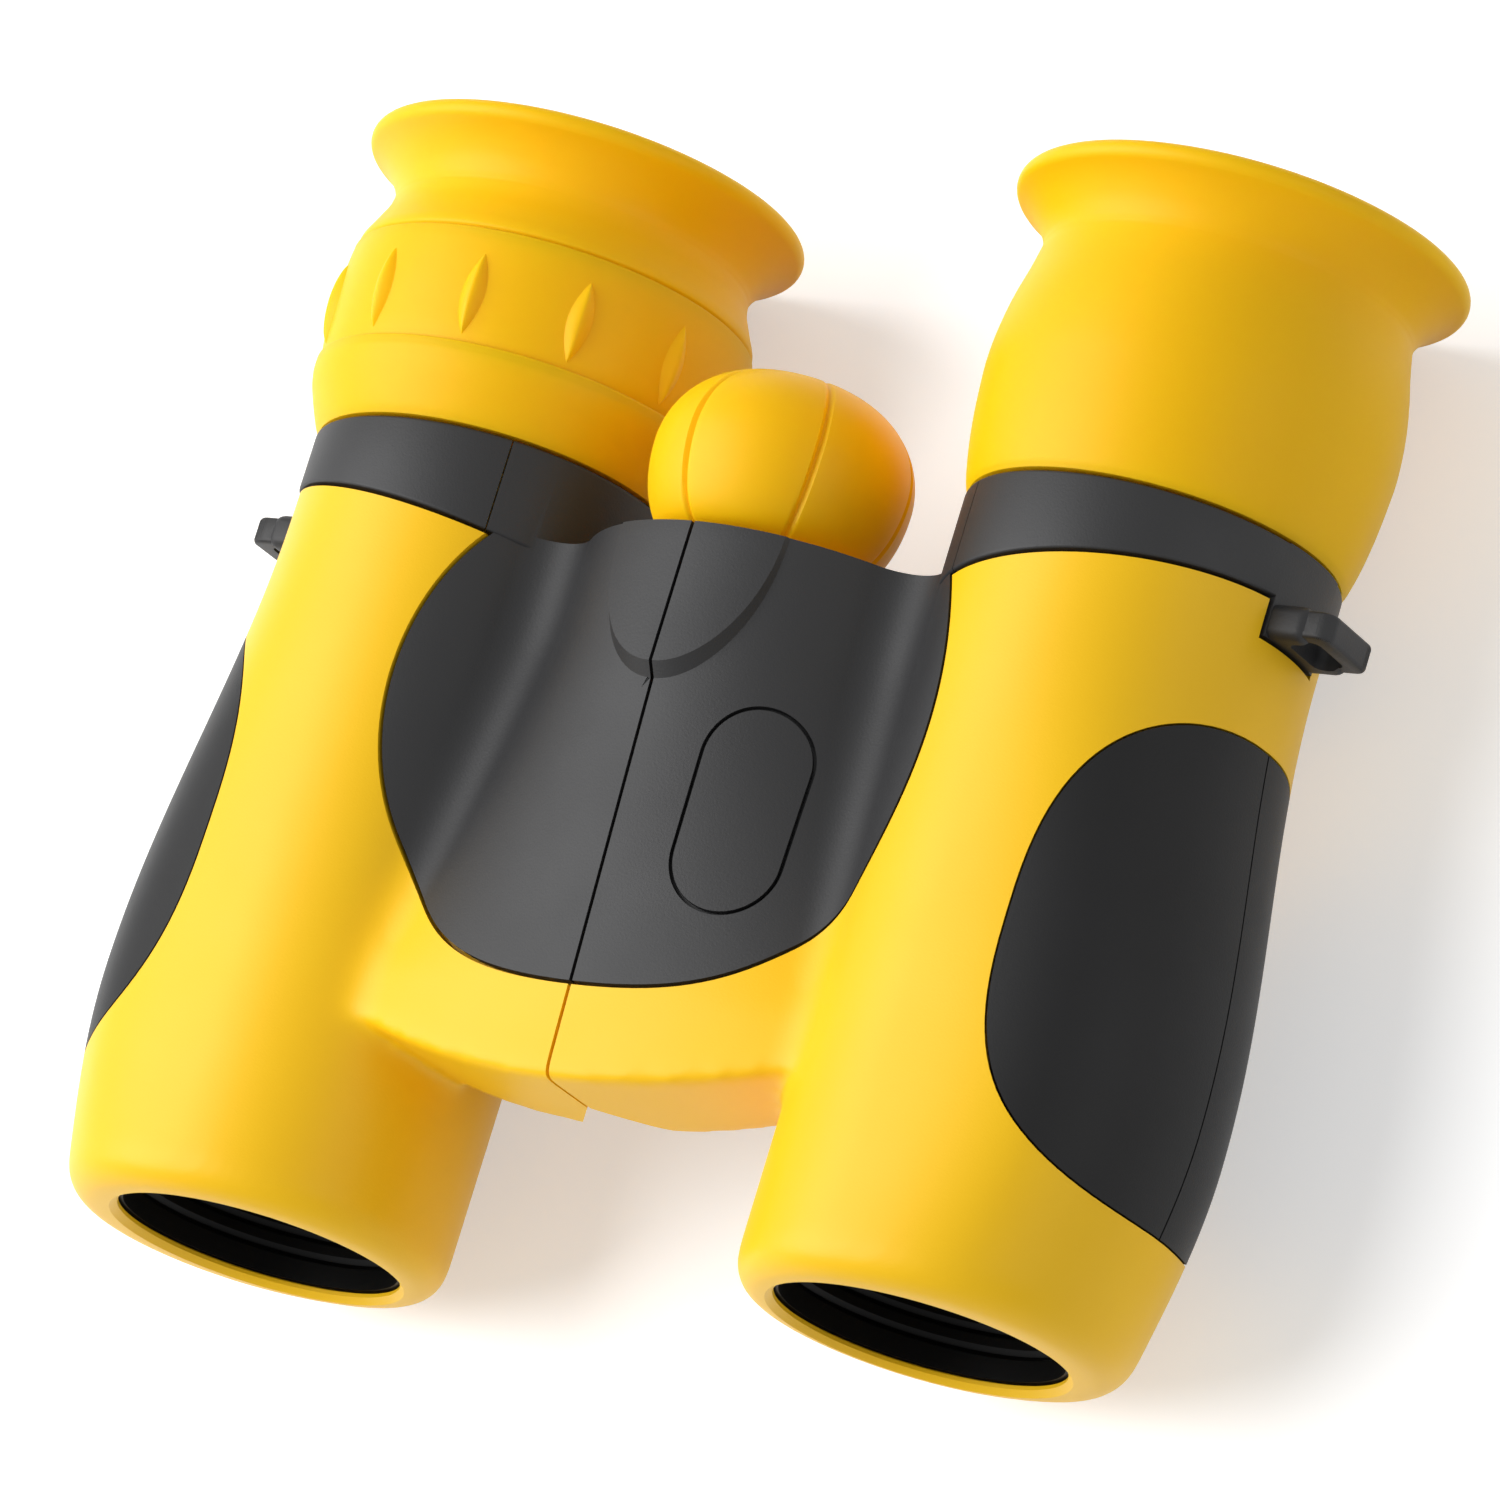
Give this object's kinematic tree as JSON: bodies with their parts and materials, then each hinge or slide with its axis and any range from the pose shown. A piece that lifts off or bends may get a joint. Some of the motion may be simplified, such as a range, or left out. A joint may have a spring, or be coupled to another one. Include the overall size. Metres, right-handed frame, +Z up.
{
  "type": "compact folding binoculars",
  "caption": "Child's compact folding roof-prism binoculars: yellow barrels and rubber eyecups, dark centre covers and grips, centre focus wheel, diopter ring and strap lugs.",
  "frame": {"origin": "middle of the box, on the surface that the eyecup rims lie on", "axes": "+X to the user's right, across the barrels; +Y forward along the barrels to the objectives; +Z up"},
  "size_m": [0.0984, 0.0886, 0.0352],
  "materials": {
    "yellow_plastic": "fine satin grain",
    "yellow_rubber": "soft satin rubber",
    "black_plastic": "fine satin grain",
    "black_rubber": "matt rubber",
    "inner_black": "dead matt inside",
    "optical_glass": "polished, coated",
    "steel": "bright turned",
    "brass": "bright turned",
    "nylon": "natural"
  },
  "bodies": {
    "left_half": {"left_barrel_shell": "yellow_plastic", "left_top_cover": "black_plastic", "left_cover_screw": "steel", "left_strap_collar": "black_plastic", "left_side_grip": "black_rubber", "left_front_liner": "inner_black", "left_prism_cage": "inner_black", "left_half_penta_prism": "optical_glass", "left_roof_prism": "optical_glass", "left_eyepiece_tube": "inner_black", "left_eyecup": "yellow_rubber", "left_eye_lens": "optical_glass", "left_field_lens": "optical_glass", "badge": "black_plastic", "hinge_front_pin": "steel", "hinge_rear_bush": "brass", "focus_washer": "nylon"},
    "right_half": {"right_barrel_shell": "yellow_plastic", "right_top_cover": "black_plastic", "right_cover_screw": "steel", "right_strap_collar": "black_plastic", "right_side_grip": "black_rubber", "right_front_liner": "inner_black", "right_prism_cage": "inner_black", "right_half_penta_prism": "optical_glass", "right_roof_prism": "optical_glass", "right_eyepiece_base": "yellow_rubber"},
    "diopter": {"diopter_ring": "yellow_rubber", "right_eyecup": "yellow_rubber"},
    "right_ocular": {"right_ocular_tube": "inner_black", "right_eye_lens": "optical_glass", "right_field_lens": "optical_glass"},
    "focus_drive": {"focus_wheel": "yellow_rubber", "focus_screw": "steel"},
    "left_focus_slide": {"focus_nut": "brass", "left_focus_arm": "steel", "left_objective_cell": "inner_black", "left_objective_lens": "optical_glass", "left_lens_retainer": "inner_black"},
    "right_focus_slide": {"right_focus_arm": "steel", "right_objective_cell": "inner_black", "right_objective_lens": "optical_glass", "right_lens_retainer": "inner_black"}
  },
  "joints": [
    {"name": "fold", "type": "hinge", "parent": "left_half", "child": "right_half", "pos_m": [0, 0, 0.0235], "axis": [0, 1, 0], "range_deg": [0, 60]},
    {"name": "focus_turn", "type": "hinge", "parent": "left_half", "child": "focus_drive", "pos_m": [0, -0.02, 0.0235], "axis": [0, 1, 0], "range_deg": [-180, 180]},
    {"name": "left_focus", "type": "slide", "parent": "left_half", "child": "left_focus_slide", "axis": [0, 1, 0], "range_m": [-0.0015, 0.0015]},
    {"name": "right_focus", "type": "slide", "parent": "right_half", "child": "right_focus_slide", "axis": [0, 1, 0], "range_m": [-0.0015, 0.0015]},
    {"name": "diopter_turn", "type": "hinge", "parent": "right_half", "child": "diopter", "pos_m": [0.0301, -0.03, 0.0176], "axis": [0, 1, 0], "range_deg": [-45, 45]},
    {"name": "diopter_slide", "type": "slide", "parent": "right_half", "child": "right_ocular", "axis": [0, 1, 0], "range_m": [-0.0008, 0.0008]}
  ],
  "couplings": [
    {"joint": "left_focus", "follows": "focus_turn", "m_per_rad": 0.00047746},
    {"joint": "right_focus", "follows": "focus_turn", "m_per_rad": 0.00047746},
    {"joint": "diopter_slide", "follows": "diopter_turn", "m_per_rad": 0.0010186}
  ]
}
